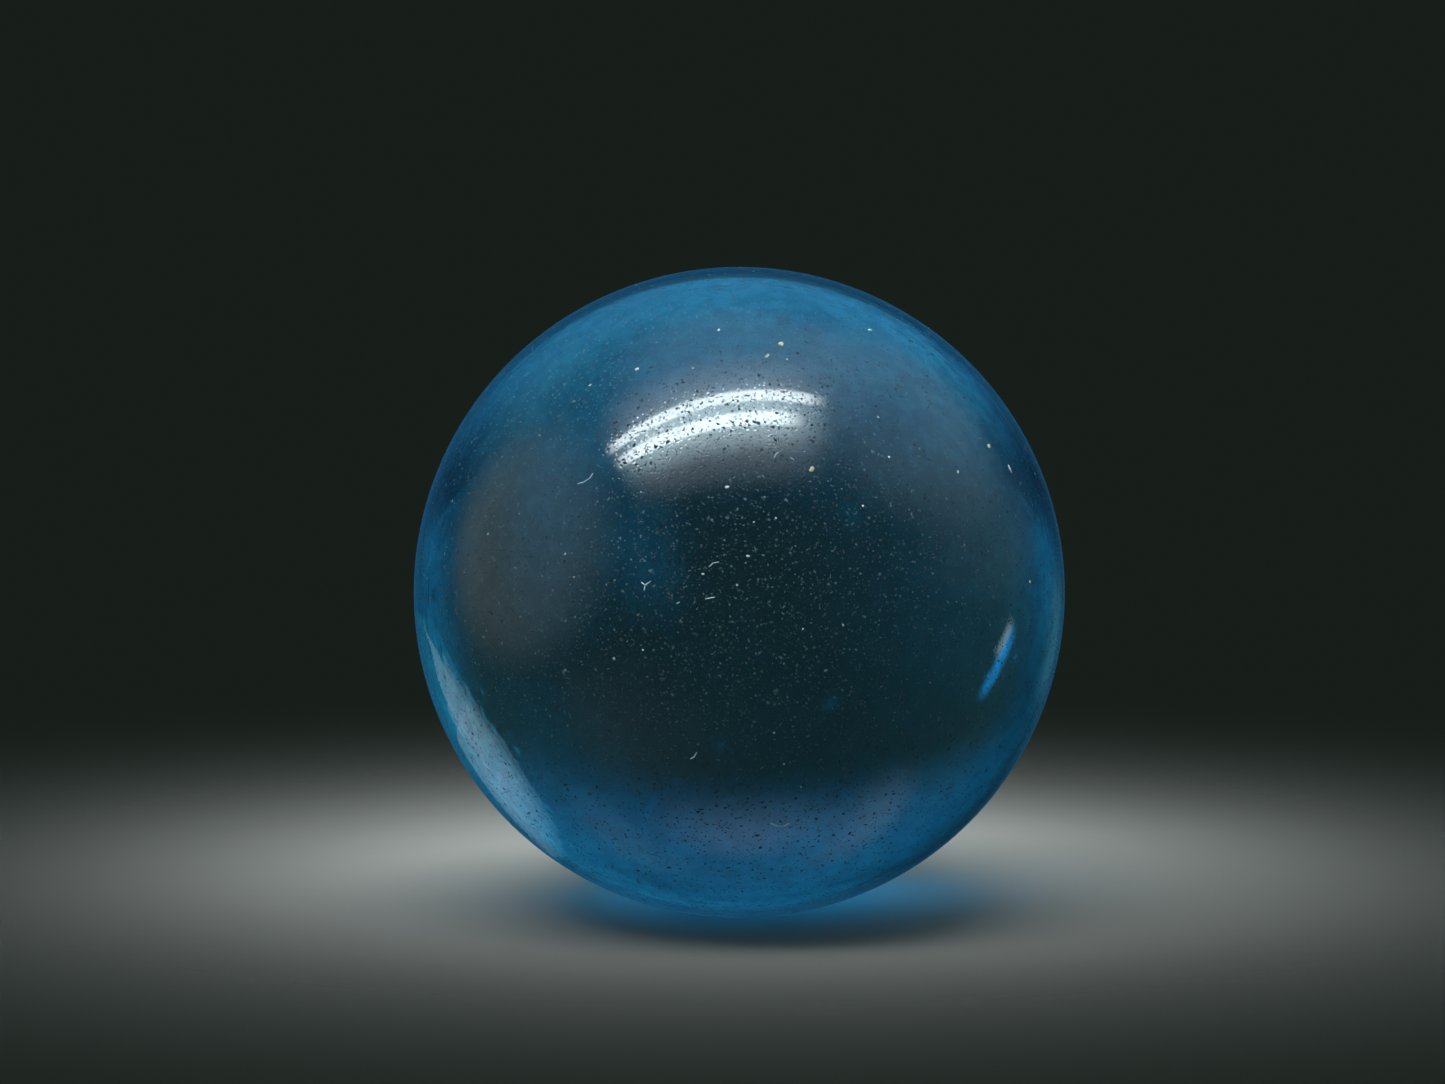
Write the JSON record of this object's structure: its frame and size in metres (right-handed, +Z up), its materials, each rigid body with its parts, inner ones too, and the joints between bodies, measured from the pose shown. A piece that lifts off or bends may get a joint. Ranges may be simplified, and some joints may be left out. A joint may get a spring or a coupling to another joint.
{
  "type": "topaz sphere",
  "caption": "Polished solid ball of transparent blue topaz, cut from a single crystal, for display in a ring or dished stand on a desk or bench.",
  "frame": {"origin": "centre of the ball", "axes": "+Z up, from the seat under the ball to its top; the ball is the same about every axis"},
  "size_m": [0.016, 0.016, 0.016],
  "materials": {
    "topaz": "polished, transparent blue, with fine polishing pits and a little dust"
  },
  "bodies": {
    "root": {"topaz_sphere": "topaz"}
  },
  "joints": []
}
